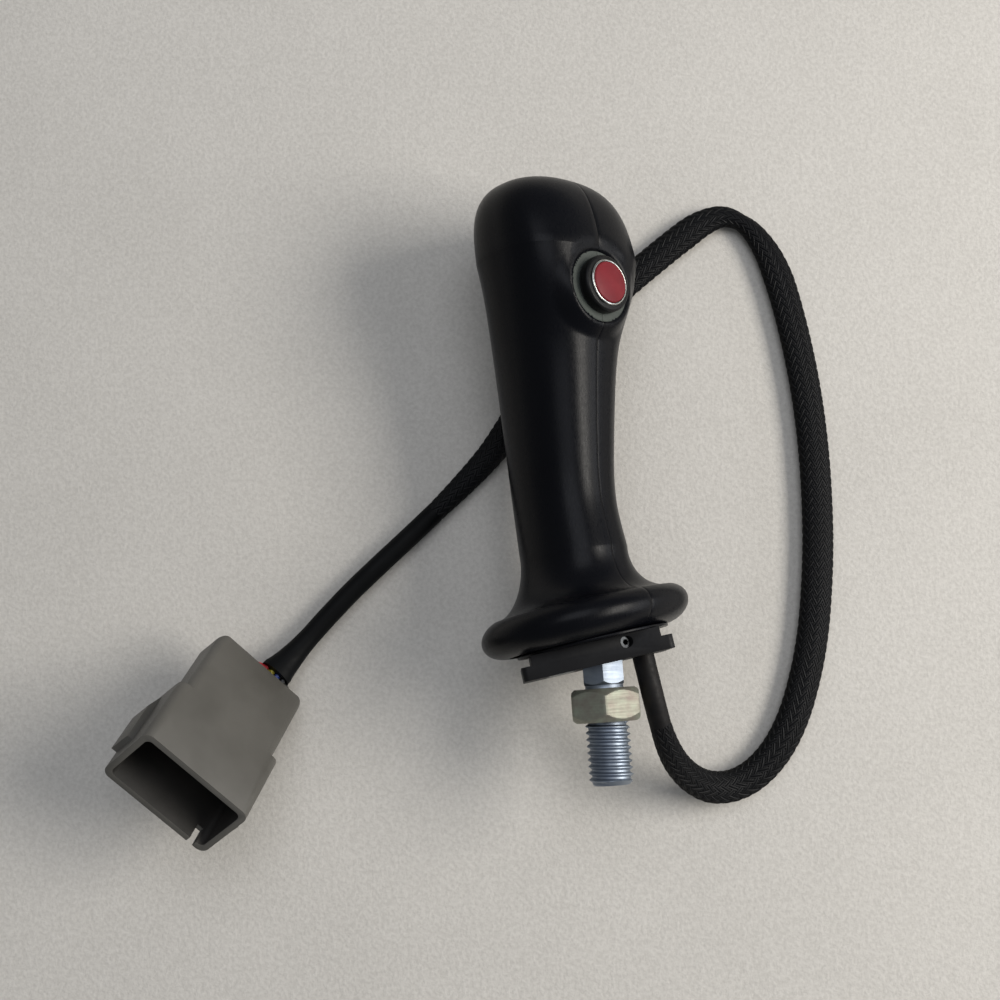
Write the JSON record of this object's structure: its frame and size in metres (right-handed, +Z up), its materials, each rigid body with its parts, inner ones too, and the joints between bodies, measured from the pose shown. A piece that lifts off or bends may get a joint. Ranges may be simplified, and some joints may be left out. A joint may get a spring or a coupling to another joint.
{
  "type": "industrial joystick",
  "caption": "Moulded joystick hand grip with a thumb push-button, threaded mounting stud and lock nut, and a braided lead to a sealed multi-way receptacle.",
  "frame": {"origin": "on the stud's axis at the lock nut's outer face", "axes": "+Y along the stud's axis from the nut up through the grip, -Y out of the stud's free end, +Z up from the bench that the grip lies on, +X to the side of the grip that the lead leaves"},
  "size_m": [0.2065, 0.1816, 0.0565],
  "materials": {
    "grip": "satin, fine moulded grain",
    "adapter": "matte, moulded",
    "zinc_steel": "zinc plated",
    "dark_steel": "blackened",
    "cast_zinc": "as cast",
    "stud_zinc": "bluish zinc plate, satin",
    "nut_zinc": "zinc plate with a pale green cast",
    "shrink": "soft, dull tubing",
    "button_black": "semi-gloss",
    "seal_rubber": "dull",
    "bezel_chrome": "bright",
    "cap_red": "semi-gloss, slightly see-through at the rim",
    "ivory_plastic": "plain",
    "spring_steel": "bright drawn wire",
    "switch_plastic": "plain",
    "contact_brass": "plain",
    "braid": "woven monofilament, slight sheen",
    "lead_red": "plain",
    "lead_yellow": "plain",
    "lead_blue": "plain",
    "lead_black": "plain",
    "seal_grey": "dull",
    "connector_grey": "smooth moulded",
    "contact_plated": "plated",
    "wedge_orange": "plain"
  },
  "bodies": {
    "handle": {"grip_shell_left": "grip", "grip_shell_right": "grip", "shell_screws": "zinc_steel", "core_insert": "cast_zinc", "base_cover": "grip", "adapter_block": "adapter", "block_screws": "zinc_steel", "set_screw": "dark_steel", "stud": "stud_zinc", "cable_bush": "shrink", "button_housing": "button_black", "button_seal": "seal_rubber", "button_bezel": "bezel_chrome", "ring_nut": "zinc_steel", "return_spring": "spring_steel", "switch_body": "switch_plastic", "switch_terminals": "contact_brass", "inner_cable": "shrink", "inlet_shrink": "shrink", "loom_sleeve": "braid", "connector_shrink": "shrink", "lead_red": "lead_red", "lead_yellow": "lead_yellow", "lead_blue": "lead_blue", "lead_black": "lead_black", "rear_seal": "seal_grey", "receptacle": "connector_grey", "contact_pins": "contact_plated", "wedge_lock": "wedge_orange", "sealing_plugs": "ivory_plastic"},
    "button": {"button_cap": "cap_red", "button_plunger": "ivory_plastic"},
    "nut": {"lock_nut": "nut_zinc"}
  },
  "joints": [
    {"name": "button_press", "type": "slide", "parent": "handle", "child": "button", "axis": [-0.6428, 0, -0.766], "range_m": [0, 0.0025], "stiffness_N_per_m": 1000, "springref_m": -0.002, "deforming": ["return_spring"]},
    {"name": "lock_nut_turn", "type": "hinge", "parent": "handle", "child": "nut", "pos_m": [0, 0, 0], "axis": [0, -1, 0], "continuous": true}
  ]
}
